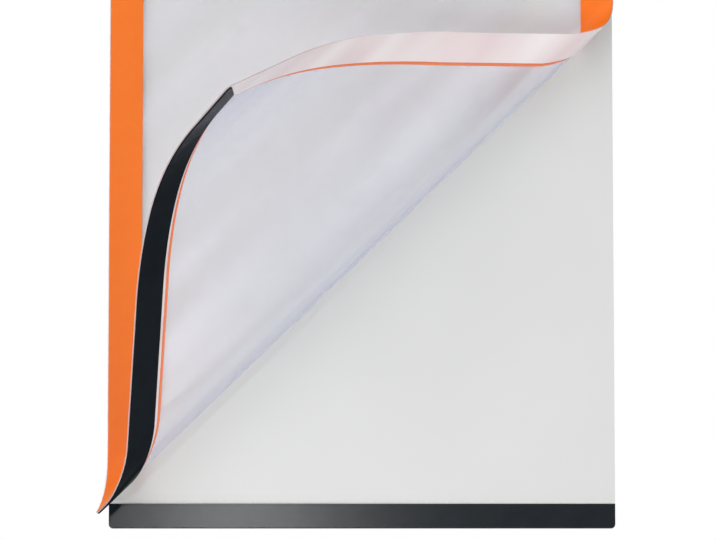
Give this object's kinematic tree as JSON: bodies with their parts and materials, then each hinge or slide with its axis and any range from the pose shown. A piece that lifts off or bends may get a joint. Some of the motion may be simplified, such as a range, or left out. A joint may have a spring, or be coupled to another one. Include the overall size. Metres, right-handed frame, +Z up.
{
  "type": "magnetic photo frame",
  "caption": "Flat display frame for a sheet or photo: translucent back panel with magnetic closure, and a clear bordered film cover hinged at the top that peels open from a corner.",
  "frame": {"origin": "centre of the top rear magnet strip's wall face", "axes": "+Z up, +X to the right seen from the front, +Y into the wall, so the front faces -Y"},
  "size_m": [0.2397, 0.1436, 0.322],
  "materials": {
    "translucent_panel": "smooth translucent white sheet",
    "clear_film": "clear glossy film with a faint haze",
    "orange_border": "satin orange film",
    "white_backing": "smooth pinkish white film",
    "magnet_strip": "satin black magnetic rubber",
    "white_tape": "white double sided tape",
    "foam_spacer": "white foam bonding strip"
  },
  "bodies": {
    "frame": {"back_panel": "translucent_panel", "closure_strip": "magnet_strip", "closure_tape": "white_tape", "hinge_spacer": "foam_spacer", "rear_magnet_bottom": "magnet_strip", "rear_magnet_top": "magnet_strip", "rear_tape_bottom": "white_tape", "rear_tape_top": "white_tape", "top_backing": "white_backing", "top_border": "orange_border", "top_film": "clear_film"},
    "cover": {"cover_backing": "white_backing", "cover_border": "orange_border", "cover_film": "clear_film"},
    "peel_1": {"peel_1_backing": "white_backing", "peel_1_border": "orange_border", "peel_1_film": "clear_film", "peel_1_magnet": "magnet_strip"},
    "peel_2": {"peel_2_backing": "white_backing", "peel_2_border": "orange_border", "peel_2_film": "clear_film", "peel_2_magnet": "magnet_strip"},
    "peel_3": {"peel_3_backing": "white_backing", "peel_3_border": "orange_border", "peel_3_film": "clear_film", "peel_3_magnet": "magnet_strip"},
    "peel_4": {"peel_4_backing": "white_backing", "peel_4_border": "orange_border", "peel_4_film": "clear_film", "peel_4_magnet": "magnet_strip"},
    "peel_5": {"peel_5_backing": "white_backing", "peel_5_border": "orange_border", "peel_5_film": "clear_film", "peel_5_magnet": "magnet_strip"}
  },
  "joints": [
    {"name": "cover_lift", "type": "hinge", "parent": "frame", "child": "cover", "pos_m": [0, -0.0042, -0.0077], "axis": [-1, 0, 0], "range_deg": [0, 100]},
    {"name": "cover_peel", "type": "hinge", "parent": "cover", "child": "peel_1", "pos_m": [0.0048, -0.0042, -0.17528], "axis": [-0.7199, 0, -0.6941], "range_deg": [-49.5, 0]},
    {"name": "crease_2", "type": "hinge", "parent": "peel_1", "child": "peel_2", "pos_m": [0.01118, -0.01478, -0.18168], "axis": [-0.7096, -0.0171, -0.7044], "range_deg": [-49.5, 0]},
    {"name": "crease_3", "type": "hinge", "parent": "peel_2", "child": "peel_3", "pos_m": [0.00993, -0.02851, -0.17986], "axis": [-0.7116, -0.0392, -0.7015], "range_deg": [-49.5, 0]},
    {"name": "crease_4", "type": "hinge", "parent": "peel_3", "child": "peel_4", "pos_m": [-0.02445, -0.06289, -0.13838], "axis": [-0.7679, -0.0927, -0.6338], "range_deg": [0, 29]},
    {"name": "crease_5", "type": "hinge", "parent": "peel_4", "child": "peel_5", "pos_m": [-0.03258, -0.09294, -0.12258], "axis": [-0.781, -0.1412, -0.6083], "range_deg": [0, 29]}
  ],
  "couplings": [
    {"joint": "crease_2", "follows": "cover_peel", "ratio": 1},
    {"joint": "crease_3", "follows": "cover_peel", "ratio": 1},
    {"joint": "crease_4", "follows": "cover_peel", "ratio": -0.58586},
    {"joint": "crease_5", "follows": "cover_peel", "ratio": -0.58586}
  ]
}
